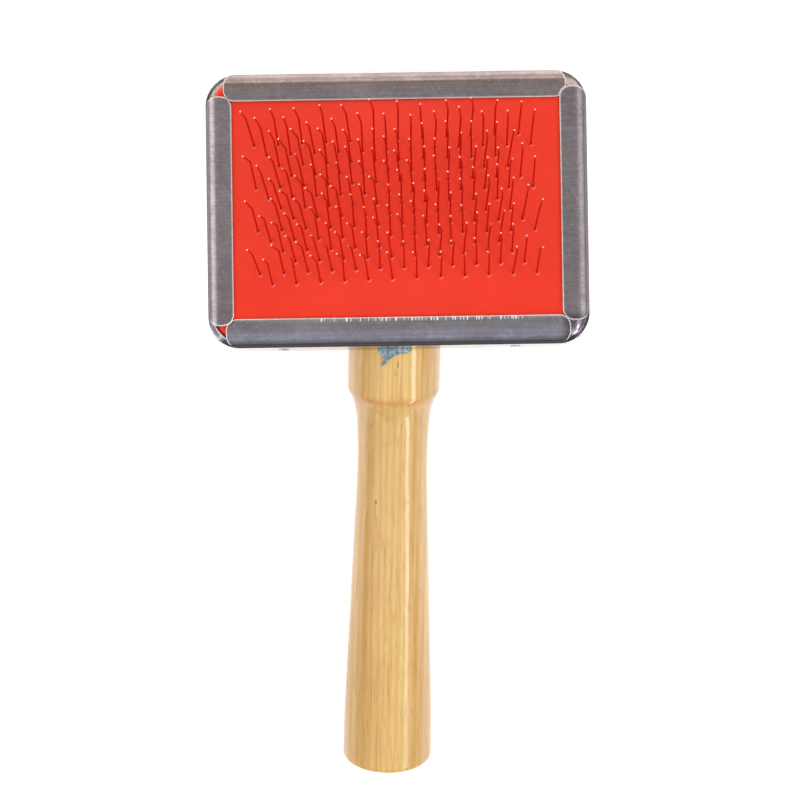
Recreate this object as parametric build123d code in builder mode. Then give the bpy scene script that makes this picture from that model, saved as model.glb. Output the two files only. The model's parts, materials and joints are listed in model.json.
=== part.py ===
from build123d import *
import math
import os

os.makedirs("parts", exist_ok=True)

# ---------------------------------------------------------------- driving dimensions, mm and degrees
HEAD_W = 60.5          # head across, over the edge strip
HEAD_H = 43.5          # head from handle edge to far edge, over the edge strip
HEAD_R = 5.0           # corner radius of the head
BOARD_T = 6.0          # wooden board
TIN_T = 0.35           # edge strip metal
HEM_W = 2.2            # edge strip folded onto the back of the board

OVERALL = 120.0        # handle end to far edge of the head, measured along the brush
RAKE = 26.0            # the handle leans back from the plane of the head
HANDLE_SKEW = 1.9      # the handle sits slightly out of square with the head
HANDLE_X = -0.8        # the handle sits slightly to one side of the head's middle
SEAT_TIP = 0.9         # the tip of the handle's slanted seat stands out past the head
COLLAR_R = 7.5
BEVEL_R = 6.5
NECK_R = 5.72
END_R = 7.38
END_ROUND = 1.2
COLLAR_END = 8.3       # distances along the handle, from the tip of its seat
BEVEL_END = 11.0
NECK_AT = 19.8
STUB = 23.0            # the seat's thin end is cut off this far above its tip

FOAM_T = 1.6
WIRE_GAP = 0.45        # the staple crowns lie between pad and cloth
CROWN_DEPTH = 0.27     # middle of a crown below the cloth
CLOTH_T = 0.5
RUBBER_T = 0.9
RIM_SLOPE = 1.12       # the rubber's rim slopes inward by this much over its thickness
CROWN = 1.6            # rise of the domed cushion at its middle

FLANGE_L = 4.15        # width of the strip's front flange on each side
FLANGE_R = 4.3
FLANGE_TOP = 4.4
FLANGE_BOT = 4.5
SHOULDER_R = 1.5       # outer bend radius between side wall and flange
TONGUE_R = 1.85        # rounding of each flange end
CLOSING_LOW = -18.15    # ends of the closing strip's flange
CLOSING_HIGH = 19.1
SEAM_X = 26.3          # where the closing strip meets the main strip
SEAM_GAP = 0.15

WIRE_R = 0.14
WIRE_HOLE_R = 0.18
PITCH_X = 3.81         # spacing of the pins in a row, also the width of a staple
ROW_STEP = 1.705       # spacing of the rows
ROWS = 14
FIELD_SKEW = 1.8       # the foundation was cut slightly out of square
FIELD_X = -0.3
FIELD_Y = -0.05
KNEE_LEN = 6.7         # rubber to knee, along the wire
TIP_LEN = 4.5          # knee to tip
LEAN = 30.0            # lower part of each wire leans toward the far edge
TIP_LEAN = 6.0
LEAN_YAW = 1.0
TIP_SIDE = 4.5         # the tips also lean a little to the left
SPLAY_X = 0.0048       # splay of the wires per mm from the middle, from the dome
SPLAY_Y = 0.0064
KNEE_BEND = 0.55
CROWN_BEND = 0.2

SCREW_Y = (-16.0, -7.5)
SCREW_R = 1.5
SCREW_LEN = 12.0
SCREW_HEAD_R = 2.8
TACK_R = 0.5
TACK_LEN = 5.0
TACK_HEAD_R = 0.85

# ---------------------------------------------------------------- derived levels, from the board's back
Z_FOAM = BOARD_T + FOAM_T
Z_CLOTH = Z_FOAM + WIRE_GAP
Z_RUBBER = Z_CLOTH + CLOTH_T
Z_FACE = Z_RUBBER + RUBBER_T
Z_RIM = Z_FACE + TIN_T
Z_WALL = Z_RIM - SHOULDER_R
HALF_W = HEAD_W / 2
HALF_H = HEAD_H / 2
CORNER_X = HALF_W - HEAD_R
CORNER_Y = HALF_H - HEAD_R
SEAT_Y = -HALF_H - SEAT_TIP
HANDLE_LEN = OVERALL - HEAD_H - SEAT_TIP
WINDOW_X = HALF_W - 4.35
WINDOW_Y = HALF_H - 4.55

# The brush lies on its back: the far edge of the head and the end of the handle touch the table.
sin_r = math.sin(math.radians(RAKE))
cos_r = math.cos(math.radians(RAKE))
LOW_Y = SEAT_Y + (COLLAR_R - END_R) * sin_r - HANDLE_LEN * cos_r
END_MID_Y = SEAT_Y + COLLAR_R * sin_r - HANDLE_LEN * cos_r
END_MID_Z = -COLLAR_R * cos_r - HANDLE_LEN * sin_r
EDGE_R = END_R - END_ROUND
PIVOT_Y = END_MID_Y + EDGE_R * sin_r + END_ROUND * cos_r
PIVOT_Z = END_MID_Z - EDGE_R * cos_r + END_ROUND * sin_r
TOP_Y = HALF_H
TOP_Z = -TIN_T
SPAN = math.hypot(TOP_Y - PIVOT_Y, TOP_Z - PIVOT_Z)
LIE = math.degrees(math.atan2(TOP_Z - PIVOT_Z, TOP_Y - PIVOT_Y) + math.asin(END_ROUND / SPAN))
sin_l = math.sin(math.radians(LIE))
cos_l = math.cos(math.radians(LIE))

# Far back edge of the head at floor level; the whole brush is centred over the origin.
far_y = HALF_H * cos_l + Z_WALL * sin_l
floor_z = -HALF_H * sin_l - TIN_T * cos_l
near_y = END_MID_Y * cos_l + END_MID_Z * sin_l - END_R * math.sin(math.radians(RAKE - LIE))
MID_Y = (far_y + near_y) / 2
HEAD = Plane(
    origin=(0, -MID_Y, -floor_z),
    x_dir=(1, 0, 0),
    z_dir=(0, sin_l, cos_l),
)


def at_head(x, y, z):
    """A point given in the head's own frame: across, up the head, out of the front."""
    return HEAD.from_local_coords(Vector(x, y, z))


def along_head(x, y, z):
    """A direction given in the head's own frame."""
    return (at_head(x, y, z) - at_head(0, 0, 0)).normalized()


AXIS_LOCAL = Vector(-math.sin(math.radians(HANDLE_SKEW)), -cos_r, -sin_r).normalized()
AXIS_DIR = along_head(AXIS_LOCAL.X, AXIS_LOCAL.Y, AXIS_LOCAL.Z)
AXIS_FOOT = at_head(HANDLE_X, SEAT_Y + COLLAR_R * sin_r, -COLLAR_R * cos_r)
# Section plane of the handle: its x runs along the axis, its y is the radius.
HANDLE = Plane(origin=AXIS_FOOT, x_dir=AXIS_DIR, z_dir=AXIS_DIR.cross(HEAD.z_dir))


def dome(x, y):
    """Rise of the cushion above its clamped rim."""
    u = min(1.0, abs(x) / WINDOW_X)
    v = min(1.0, abs(y) / WINDOW_Y)
    return CROWN * (1 - u * u) * (1 - v * v)


def dome_face(level):
    """The domed surface whose rim lies at one level above the board's back."""
    steps = 13
    grid = []
    for i in range(steps):
        x = WINDOW_X * (2 * i / (steps - 1) - 1)
        line = []
        for j in range(steps):
            y = WINDOW_Y * (2 * j / (steps - 1) - 1)
            line.append(at_head(x, y, level + dome(x, y)))
        grid.append(line)
    return Face.make_surface_from_array_of_points(grid)


def wobble(k, amount):
    """A small repeatable irregularity, as left by hand use."""
    return amount * math.sin(12.9898 * k + 4.1 * math.sin(3.7 * k))


# ---------------------------------------------------------------- pins and staples
pin_rows = []
skew = math.radians(FIELD_SKEW)
pin_number = 0
for row in range(ROWS):
    wide = row // 2 % 2 == 0
    columns = range(12) if wide else range(1, 11)
    shift = PITCH_X / 4 if row % 2 == 0 else -PITCH_X / 4
    pins = []
    for column in columns:
        pin_number += 1
        fx = (column - 5.5) * PITCH_X + shift
        fy = (row - (ROWS - 1) / 2) * ROW_STEP
        x = FIELD_X + fx * math.cos(skew) - fy * math.sin(skew)
        y = FIELD_Y + fx * math.sin(skew) + fy * math.cos(skew)
        yaw = math.radians(LEAN_YAW + FIELD_SKEW + wobble(pin_number, 4.5))
        lean = math.radians(LEAN + wobble(pin_number + 500, 2.2))
        lower = Vector(
            -math.sin(yaw) * math.sin(lean) + SPLAY_X * fx,
            math.cos(yaw) * math.sin(lean) + SPLAY_Y * fy,
            math.cos(lean),
        ).normalized()
        tip_lean = math.radians(TIP_LEAN + wobble(pin_number + 900, 4.5))
        upper = Vector(
            -math.sin(math.radians(TIP_SIDE)) + SPLAY_X * fx + wobble(pin_number + 70, 0.06),
            math.sin(tip_lean) + SPLAY_Y * fy,
            math.cos(tip_lean),
        ).normalized()
        root = Vector(x, y, Z_FACE + dome(x, y))
        reach = (Z_FACE - Z_CLOTH + CROWN_DEPTH) / lower.Z
        foot_x = x - lower.X * reach
        foot_y = y - lower.Y * reach
        foot = Vector(foot_x, foot_y, Z_CLOTH + dome(foot_x, foot_y) - CROWN_DEPTH)
        knee = root + lower * (KNEE_LEN + wobble(pin_number + 300, 0.4))
        tip = knee + upper * (TIP_LEN + wobble(pin_number + 700, 0.25))
        pins.append((foot, knee, tip))
    pin_rows.append(pins)

hole_planes = []
for pins in pin_rows:
    for foot, knee, tip in pins:
        run = (knee - foot).normalized()
        start = foot + run * 1.1
        hole_planes.append(
            Plane(origin=at_head(start.X, start.Y, start.Z), z_dir=along_head(run.X, run.Y, run.Z))
        )


def bend_points(before, corner, after, radius):
    """Start, middle and end of the arc that rounds a corner of the wire."""
    to_before = (before - corner).normalized()
    to_after = (after - corner).normalized()
    half = math.acos(max(-1.0, min(1.0, to_before.dot(to_after)))) / 2
    back = radius / math.tan(half)
    middle = (to_before + to_after).normalized() * (radius / math.sin(half) - radius)
    return corner + to_before * back, corner + middle, corner + to_after * back


# ---------------------------------------------------------------- handle
with BuildPart() as handle:
    with BuildSketch(HANDLE):
        with BuildLine():
            Line((-STUB, 0), (-STUB, COLLAR_R - 0.8))
            TangentArc((-STUB, COLLAR_R - 0.8), (-STUB + 0.8, COLLAR_R), tangent=(0, 1))
            Line((-STUB + 0.8, COLLAR_R), (COLLAR_END, COLLAR_R))
            Spline(
                (COLLAR_END, COLLAR_R),
                (COLLAR_END + 0.9, COLLAR_R - 0.3),
                (BEVEL_END, BEVEL_R),
                tangents=((1, 0), (1, -0.33)),
            )
            Spline(
                (BEVEL_END, BEVEL_R),
                (NECK_AT - 4.2, NECK_R + 0.14),
                (NECK_AT, NECK_R),
                (NECK_AT + 10, NECK_R + 0.24),
                (51.0, 6.68),
                (66.0, 7.2),
                (HANDLE_LEN - END_ROUND, END_R),
                tangents=((1, -0.33), (1, 0.02)),
            )
            TangentArc(
                (HANDLE_LEN - END_ROUND, END_R),
                (HANDLE_LEN, END_R - END_ROUND),
                tangent=(1, 0),
            )
            Line((HANDLE_LEN, END_R - END_ROUND), (HANDLE_LEN, 0))
            Line((HANDLE_LEN, 0), (-STUB, 0))
        make_face()
    revolve(axis=Axis(AXIS_FOOT, AXIS_DIR))
    # The slanted seat, sawn flat to lie on the board's back.
    with BuildSketch(HEAD):
        Rectangle(80, 160)
    extrude(amount=40, mode=Mode.SUBTRACT)
    # Pilot holes of the two screws.
    with BuildSketch(HEAD):
        with Locations(*[(HANDLE_X, y) for y in SCREW_Y]):
            Circle(SCREW_R + 0.05)
    extrude(amount=-(SCREW_LEN - BOARD_T + 0.1), mode=Mode.SUBTRACT)
handle.part.label = "handle"
export_step(handle.part, "parts/handle.step")

# ---------------------------------------------------------------- tack positions round the head
tack_planes = []
for x in (-18.0, 0.0, 18.0):
    tack_planes.append(
        Plane(origin=at_head(x, HALF_H, BOARD_T / 2), x_dir=(1, 0, 0), z_dir=along_head(0, -1, 0))
    )
for x in (-18.5, 18.5):
    tack_planes.append(
        Plane(origin=at_head(x, -HALF_H, BOARD_T / 2), x_dir=(1, 0, 0), z_dir=along_head(0, 1, 0))
    )
for y in (-9.0, 9.0):
    tack_planes.append(
        Plane(origin=at_head(-HALF_W, y, BOARD_T / 2), x_dir=along_head(0, 1, 0), z_dir=(1, 0, 0))
    )
    tack_planes.append(
        Plane(origin=at_head(HALF_W, y, BOARD_T / 2), x_dir=along_head(0, 1, 0), z_dir=(-1, 0, 0))
    )

# ---------------------------------------------------------------- head board
with BuildPart() as head_board:
    with BuildSketch(HEAD):
        RectangleRounded(HEAD_W - 2 * TIN_T - 0.04, HEAD_H - 2 * TIN_T - 0.04, HEAD_R - TIN_T)
    extrude(amount=BOARD_T)
    with BuildSketch(HEAD):
        with Locations(*[(HANDLE_X, y) for y in SCREW_Y]):
            Circle(SCREW_R + 0.05)
    extrude(amount=BOARD_T, mode=Mode.SUBTRACT)
    # Countersinks for the screw heads.
    for y in SCREW_Y:
        sink = Plane(origin=at_head(HANDLE_X, y, BOARD_T), x_dir=(1, 0, 0), z_dir=HEAD.z_dir)
        with BuildSketch(Plane(origin=sink.origin, x_dir=(1, 0, 0), z_dir=along_head(0, -1, 0))):
            Polygon(
                (0, 0),
                (SCREW_HEAD_R + 0.05, 0),
                (SCREW_HEAD_R + 0.05, -0.3),
                (SCREW_R + 0.05, -1.65),
                (0, -1.65),
                align=None,
            )
        revolve(axis=Axis(sink.origin, HEAD.z_dir), mode=Mode.SUBTRACT)
    for tack in tack_planes:
        with BuildSketch(tack):
            Circle(TACK_R + 0.03)
        extrude(amount=TACK_LEN + 0.1, mode=Mode.SUBTRACT)
head_board.part.label = "head_board"
export_step(head_board.part, "parts/head_board.step")

# ---------------------------------------------------------------- layers of the cushion
CUSHION_W = HEAD_W - 2 * TIN_T - 0.2
CUSHION_H = HEAD_H - 2 * TIN_T - 0.2
CUSHION_R = HEAD_R - TIN_T - 0.1


def corner_room(low, high):
    """Room in the cushion for the folded corners of the closing strip."""
    with BuildPart(mode=Mode.PRIVATE) as room:
        for side in (1, -1):
            with BuildSketch(HEAD.offset(low)):
                with Locations((CORNER_X, side * CORNER_Y)):
                    Circle(HEAD_R + 3)
                    Circle(1.2, mode=Mode.SUBTRACT)
                with Locations((CORNER_X + 5, side * (CORNER_Y + 5))):
                    Rectangle(10.3, 10.3, mode=Mode.INTERSECT)
            extrude(amount=high - low)
    return room.part


with BuildPart() as cushion_pad:
    with BuildSketch(HEAD.offset(BOARD_T)):
        RectangleRounded(CUSHION_W, CUSHION_H, CUSHION_R)
        Rectangle(2 * WINDOW_X, 2 * WINDOW_Y, mode=Mode.SUBTRACT)
    extrude(amount=FOAM_T)
    add(corner_room(BOARD_T + 0.8, Z_FOAM), mode=Mode.SUBTRACT)
    with BuildSketch(HEAD.offset(BOARD_T)):
        Rectangle(2 * WINDOW_X, 2 * WINDOW_Y)
    extrude(amount=FOAM_T + CROWN + 1)
    extrude(dome_face(Z_FOAM), amount=CROWN + 2, dir=HEAD.z_dir, mode=Mode.SUBTRACT)
cushion_pad.part.label = "cushion_pad"
export_step(cushion_pad.part, "parts/cushion_pad.step")

with BuildPart() as cloth_foundation:
    with BuildSketch(HEAD.offset(Z_CLOTH)):
        RectangleRounded(CUSHION_W, CUSHION_H, CUSHION_R)
        Rectangle(2 * WINDOW_X, 2 * WINDOW_Y, mode=Mode.SUBTRACT)
    extrude(amount=CLOTH_T)
    add(corner_room(Z_CLOTH, Z_RUBBER), mode=Mode.SUBTRACT)
    extrude(dome_face(Z_CLOTH), amount=CLOTH_T, dir=HEAD.z_dir)
    with Locations(*hole_planes):
        Cylinder(WIRE_HOLE_R, 3.6, mode=Mode.SUBTRACT)
cloth_foundation.part.label = "cloth_foundation"
export_step(cloth_foundation.part, "parts/cloth_foundation.step")

with BuildPart() as rubber_face:
    # The rim slopes down under the strip's shoulder.
    with BuildSketch(HEAD.offset(Z_RUBBER)):
        RectangleRounded(CUSHION_W, CUSHION_H, CUSHION_R)
    extrude(amount=RUBBER_T, taper=math.degrees(math.atan(RIM_SLOPE / RUBBER_T)))
    with BuildSketch(HEAD.offset(Z_RUBBER)):
        Rectangle(2 * WINDOW_X, 2 * WINDOW_Y)
    extrude(amount=RUBBER_T, mode=Mode.SUBTRACT)
    add(corner_room(Z_RUBBER, Z_FACE), mode=Mode.SUBTRACT)
    extrude(dome_face(Z_RUBBER), amount=RUBBER_T, dir=HEAD.z_dir)
    with Locations(*hole_planes):
        Cylinder(WIRE_HOLE_R, 3.6, mode=Mode.SUBTRACT)
rubber_face.part.label = "rubber_face"
export_step(rubber_face.part, "parts/rubber_face.step")

# ---------------------------------------------------------------- staples, one node for each row
for row, pins in enumerate(pin_rows):
    with BuildPart() as staple_row:
        for k in range(0, len(pins), 2):
            stops = []
            for spot in (*pins[k][::-1], *pins[k + 1]):
                stops.append(at_head(spot.X, spot.Y, spot.Z))
            bends = (KNEE_BEND, CROWN_BEND, CROWN_BEND, KNEE_BEND)
            with BuildLine() as wire:
                last = stops[0]
                for corner in range(1, 5):
                    begin, middle, end = bend_points(
                        stops[corner - 1], stops[corner], stops[corner + 1], bends[corner - 1]
                    )
                    Line(last, begin)
                    ThreePointArc(begin, middle, end)
                    last = end
                Line(last, stops[5])
            with BuildSketch(Plane(origin=stops[0], z_dir=stops[1] - stops[0])):
                Circle(WIRE_R)
            sweep(path=wire.wires()[0])
    name = "staple_row_%02d" % (row + 1)
    staple_row.part.label = name
    export_step(staple_row.part, "parts/" + name + ".step")


# ---------------------------------------------------------------- edge strips
def flange(outer_x, outer_y, inward_x, inward_y, width, start, stop):
    """One side's shoulder and flange, from start to stop along the side, with rounded tongue ends."""
    middle = (start + stop) / 2
    length = stop - start
    side_x = outer_x + (middle if outer_x == 0 else 0)
    side_y = outer_y + (middle if outer_y == 0 else 0)
    inward = along_head(inward_x, inward_y, 0)
    run = inward.cross(HEAD.z_dir)
    section = Plane(origin=at_head(side_x, side_y, Z_WALL), x_dir=inward, z_dir=run)
    level = SHOULDER_R if section.y_dir.dot(HEAD.z_dir) > 0 else -SHOULDER_R
    up = 1 if level > 0 else -1
    low = up * (SHOULDER_R - TIN_T)
    bend = math.sqrt(0.5)
    inner_r = SHOULDER_R - TIN_T
    centre = at_head(side_x + inward_x * width / 2, side_y + inward_y * width / 2, Z_WALL - 0.5)
    with BuildPart(mode=Mode.PRIVATE) as piece:
        with BuildSketch(section):
            with BuildLine():
                Line((0, 0), (TIN_T, 0))
                ThreePointArc(
                    (TIN_T, 0),
                    (SHOULDER_R - inner_r * bend, up * inner_r * bend),
                    (SHOULDER_R, low),
                )
                Line((SHOULDER_R, low), (width - 0.08, low))
                Line((width - 0.08, low), (width, low + up * 0.08))
                Line((width, low + up * 0.08), (width, level - up * 0.08))
                Line((width, level - up * 0.08), (width - 0.08, level))
                Line((width - 0.08, level), (SHOULDER_R, level))
                ThreePointArc(
                    (SHOULDER_R, level),
                    (SHOULDER_R - SHOULDER_R * bend, up * SHOULDER_R * bend),
                    (0, 0),
                )
            make_face()
        extrude(amount=length / 2, both=True)
        with BuildSketch(Plane(origin=centre, x_dir=run, z_dir=HEAD.z_dir)):
            RectangleRounded(length, width, TONGUE_R)
        extrude(amount=SHOULDER_R + 1, mode=Mode.INTERSECT)
    return piece.part


def ring(level, height, inset):
    """A band that follows the head's outline."""
    with BuildPart(mode=Mode.PRIVATE) as band:
        with BuildSketch(HEAD.offset(level)):
            RectangleRounded(HEAD_W, HEAD_H, HEAD_R)
            RectangleRounded(HEAD_W - 2 * inset, HEAD_H - 2 * inset, HEAD_R - inset, mode=Mode.SUBTRACT)
        extrude(amount=height)
    return band.part


def turned_corner(side_x, side_y, points):
    """A quarter turn of a thin section round one corner of the head; points are radius and level."""
    centre = at_head(side_x * CORNER_X, side_y * CORNER_Y, 0)
    first = 0 if side_x * side_y > 0 else 90
    section = Plane(
        origin=centre,
        x_dir=along_head(side_x if first == 0 else 0, side_y if first == 90 else 0, 0),
        z_dir=along_head(side_x if first == 0 else 0, side_y if first == 90 else 0, 0).cross(HEAD.z_dir),
    )
    with BuildPart(mode=Mode.PRIVATE) as piece:
        with BuildSketch(section):
            with BuildLine():
                Polyline(*points, close=True)
            make_face()
        revolve(axis=Axis(centre, HEAD.z_dir), revolution_arc=90)
    return piece.part


def fold_section(reach):
    """Section of a corner flap tucked in under the flanges, starting inside the corner's wall."""
    steps = 8
    rise = Z_FACE - 0.02 - Z_WALL
    outer = [(HEAD_R - TIN_T, Z_WALL - 0.5)]
    inner = [(HEAD_R - 2 * TIN_T, Z_WALL - 0.5)]
    for k in range(steps + 1):
        turn = math.radians(90 * k / steps)
        outer.append((HEAD_R - TIN_T - reach * (1 - math.cos(turn)), Z_WALL + rise * math.sin(turn)))
        inner.append(
            (
                HEAD_R - 2 * TIN_T - (reach - TIN_T) * (1 - math.cos(turn)),
                Z_WALL + (rise - TIN_T) * math.sin(turn),
            )
        )
    return outer + inner[::-1]


def crimp_section():
    """Section of a corner wall crimped over the sloping rim of the rubber."""
    return [
        (HEAD_R, Z_WALL),
        (HEAD_R - 0.04, Z_WALL + 0.34),
        (HEAD_R - 0.2, Z_WALL + 0.62),
        (HEAD_R - 0.86, Z_FACE - 0.02),
        (HEAD_R - 1.09, Z_FACE - 0.29),
        (HEAD_R - TIN_T - 0.06, Z_WALL + 0.27),
        (HEAD_R - TIN_T, Z_WALL),
    ]


with BuildPart() as edge_strip_main:
    add(ring(0, Z_WALL, TIN_T))
    add(ring(-TIN_T, TIN_T, HEM_W))
    # Gap in the hem for the handle.
    with BuildSketch(HEAD.offset(-TIN_T)):
        with Locations((HANDLE_X, -HALF_H + 1.3)):
            Rectangle(2 * COLLAR_R + 1.2, 3.2)
    extrude(amount=TIN_T, mode=Mode.SUBTRACT)
    # Darts in the hem at the two left corners.
    with BuildSketch(HEAD.offset(-TIN_T)):
        for side in (1, -1):
            with Locations(Location((-CORNER_X, side * CORNER_Y), -side * 45)):
                with Locations((-HEAD_R + TIN_T + 2, 0)):
                    Rectangle(4, 1.6)
    extrude(amount=TIN_T, mode=Mode.SUBTRACT)
    # The right side belongs to the closing strip.
    with BuildSketch(HEAD.offset(-1)):
        with Locations((SEAM_X + 10, 0)):
            Rectangle(20, HEAD_H + 4)
    extrude(amount=Z_WALL + 2, mode=Mode.SUBTRACT)
    add(flange(-HALF_W, 0, 1, 0, FLANGE_L, -18.3, 18.2))
    add(flange(0, HALF_H, 0, -1, FLANGE_TOP, -27.4, 27.0))
    add(flange(0, -HALF_H, 0, 1, FLANGE_BOT, -27.4, 27.2))
    # The right-hand tongue lies over the ends of the top and bottom flanges.
    with BuildSketch(HEAD.offset(Z_WALL + 0.02)):
        with Locations((HALF_W - FLANGE_R / 2, (CLOSING_LOW + CLOSING_HIGH) / 2)):
            RectangleRounded(FLANGE_R + 0.08, CLOSING_HIGH - CLOSING_LOW + 0.08, TONGUE_R)
    extrude(amount=SHOULDER_R + 1, mode=Mode.SUBTRACT)
    add(turned_corner(-1, -1, crimp_section()))
    for tack in tack_planes:
        with BuildSketch(tack.offset(-0.5)):
            Circle(TACK_R + 0.05)
        extrude(amount=1.0, mode=Mode.SUBTRACT)
edge_strip_main.part.label = "edge_strip_main"
export_step(edge_strip_main.part, "parts/edge_strip_main.step")

with BuildPart() as edge_strip_closing:
    add(ring(0, Z_WALL, TIN_T))
    add(ring(-TIN_T, TIN_T, HEM_W))
    with BuildSketch(HEAD.offset(-TIN_T)):
        for side in (1, -1):
            with Locations(Location((CORNER_X, side * CORNER_Y), side * 45)):
                with Locations((HEAD_R - TIN_T - 2, 0)):
                    Rectangle(4, 1.6)
    extrude(amount=TIN_T, mode=Mode.SUBTRACT)
    # Only the right side and its two corners.
    with BuildSketch(HEAD.offset(-1)):
        with Locations((SEAM_X + SEAM_GAP - 50, 0)):
            Rectangle(100, HEAD_H + 4)
    extrude(amount=Z_WALL + 2, mode=Mode.SUBTRACT)
    add(flange(HALF_W, 0, -1, 0, FLANGE_R, CLOSING_LOW, CLOSING_HIGH))
    add(turned_corner(1, 1, fold_section(3.05)))
    add(turned_corner(1, -1, fold_section(3.05)))
    for tack in tack_planes:
        with BuildSketch(tack.offset(-0.5)):
            Circle(TACK_R + 0.05)
        extrude(amount=1.0, mode=Mode.SUBTRACT)
edge_strip_closing.part.label = "edge_strip_closing"
export_step(edge_strip_closing.part, "parts/edge_strip_closing.step")

# ---------------------------------------------------------------- tacks through the strips' walls
with BuildPart() as edge_tacks:
    for tack in tack_planes:
        with BuildSketch(Plane(origin=tack.origin, x_dir=tack.z_dir, z_dir=tack.x_dir)):
            with BuildLine():
                Polyline(
                    (-0.2, 0),
                    (TACK_LEN, 0),
                    (TACK_LEN - 1.2, TACK_R),
                    (0, TACK_R),
                    (0, TACK_HEAD_R),
                    (-0.08, TACK_HEAD_R),
                    (-0.2, TACK_HEAD_R - 0.25),
                    close=True,
                )
            make_face()
        revolve(axis=Axis(tack.origin, tack.z_dir))
edge_tacks.part.label = "edge_tacks"
export_step(edge_tacks.part, "parts/edge_tacks.step")

# ---------------------------------------------------------------- screws that hold the handle
with BuildPart() as handle_screws:
    for y in SCREW_Y:
        top = at_head(HANDLE_X, y, BOARD_T)
        with BuildSketch(Plane(origin=top, x_dir=(1, 0, 0), z_dir=along_head(0, -1, 0))):
            Polygon(
                (0, 0),
                (SCREW_HEAD_R, 0),
                (SCREW_HEAD_R, -0.3),
                (SCREW_R, -1.6),
                (SCREW_R, -SCREW_LEN + 2),
                (0, -SCREW_LEN),
                align=None,
            )
        revolve(axis=Axis(top, HEAD.z_dir))
    # Cross recess.
    with BuildSketch(HEAD.offset(BOARD_T - 1.2)):
        with Locations(*[(HANDLE_X, y) for y in SCREW_Y]):
            Rectangle(2.9, 0.6)
            Rectangle(0.6, 2.9)
    extrude(amount=1.3, mode=Mode.SUBTRACT)
handle_screws.part.label = "handle_screws"
export_step(handle_screws.part, "parts/handle_screws.step")

# ---------------------------------------------------------------- glue squeezed out at the seat's tip
with BuildPart() as glue_bead:
    # Outline seen from the front: broad against the strip, then a tail that has run down the collar.
    with BuildSketch(HEAD.offset(-8)):
        with BuildLine():
            Spline(
                (-3.3, -21.0),
                (-3.4, -22.2),
                (-2.9, -22.8),
                (-2.7, -23.7),
                (-3.0, -24.4),
                (-2.3, -24.0),
                (-1.4, -23.2),
                (0.0, -22.6),
                (1.7, -22.25),
                (1.9, -21.0),
            )
            Line((1.9, -21.0), (-3.3, -21.0))
        make_face()
    extrude(amount=12)
    with BuildSketch(Plane(origin=AXIS_FOOT - AXIS_DIR * 6, z_dir=AXIS_DIR)):
        Circle(COLLAR_R + 0.4)
    extrude(amount=16, mode=Mode.INTERSECT)
    with BuildSketch(HEAD.offset(-9)):
        with Locations((0, -HALF_H + 10)):
            Rectangle(20, 20)
    extrude(amount=20, mode=Mode.SUBTRACT)
    add(handle.part, mode=Mode.SUBTRACT)
glue_bead.part.label = "glue_bead"
export_step(glue_bead.part, "parts/glue_bead.step")

# ---------------------------------------------------------------- overall size
everything = Compound(
    children=[
        handle.part,
        head_board.part,
        edge_strip_main.part,
        edge_strip_closing.part,
        edge_tacks.part,
        rubber_face.part,
    ]
)
size = everything.bounding_box()
print("low", size.min, "high", size.max)
print("lie %.3f handle length %.3f" % (LIE, HANDLE_LEN))
print("handle end", AXIS_FOOT + AXIS_DIR * HANDLE_LEN, AXIS_DIR)
for node in (handle, head_board, cushion_pad, cloth_foundation, rubber_face, edge_strip_main,
             edge_strip_closing, edge_tacks, handle_screws, glue_bead):
    print(node.part.label, len(node.part.solids()), round(node.part.volume, 3), node.part.is_valid)
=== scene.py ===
import json
import math

import bpy
import numpy as np
from mathutils import Euler, Matrix, Vector


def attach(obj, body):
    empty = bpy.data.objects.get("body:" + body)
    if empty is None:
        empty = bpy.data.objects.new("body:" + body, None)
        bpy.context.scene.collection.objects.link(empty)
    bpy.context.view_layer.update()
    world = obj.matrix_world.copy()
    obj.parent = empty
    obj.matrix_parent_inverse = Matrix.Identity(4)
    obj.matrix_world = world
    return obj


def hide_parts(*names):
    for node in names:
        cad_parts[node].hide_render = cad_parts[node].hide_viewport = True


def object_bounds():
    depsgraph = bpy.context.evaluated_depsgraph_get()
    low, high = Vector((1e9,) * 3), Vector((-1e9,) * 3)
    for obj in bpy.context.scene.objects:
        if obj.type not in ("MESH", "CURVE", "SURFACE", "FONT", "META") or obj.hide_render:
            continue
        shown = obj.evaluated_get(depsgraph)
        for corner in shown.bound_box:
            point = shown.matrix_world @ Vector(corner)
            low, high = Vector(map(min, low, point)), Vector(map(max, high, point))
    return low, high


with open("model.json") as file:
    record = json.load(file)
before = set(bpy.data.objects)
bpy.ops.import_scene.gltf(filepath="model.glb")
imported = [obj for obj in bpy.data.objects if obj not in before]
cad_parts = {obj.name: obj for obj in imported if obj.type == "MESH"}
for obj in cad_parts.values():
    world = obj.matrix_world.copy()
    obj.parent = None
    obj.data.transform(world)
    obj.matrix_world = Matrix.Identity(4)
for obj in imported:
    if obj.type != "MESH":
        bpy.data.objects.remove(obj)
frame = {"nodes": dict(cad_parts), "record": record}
cad_low, cad_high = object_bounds()
scene = bpy.context.scene
nodes = frame["nodes"]
MM = 0.001

# ------------------------------------------------------------------ the head's own frame
# x across the head, y from the handle to the far edge, z out of the front, in mm from the board's back.


def points_of(name):
    mesh = nodes[name].data
    co = np.empty(len(mesh.vertices) * 3, np.float64)
    mesh.vertices.foreach_get("co", co)
    return co.reshape(-1, 3)


def main_normal(name):
    """The direction that the largest flat area of a node faces, upward."""
    areas = {}
    for face in nodes[name].data.polygons:
        key = tuple(round(v, 3) for v in face.normal)
        areas[key] = areas.get(key, 0.0) + face.area
    best = Vector(max(areas, key=areas.get))
    return (best if best.z > 0 else -best).normalized()


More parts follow.
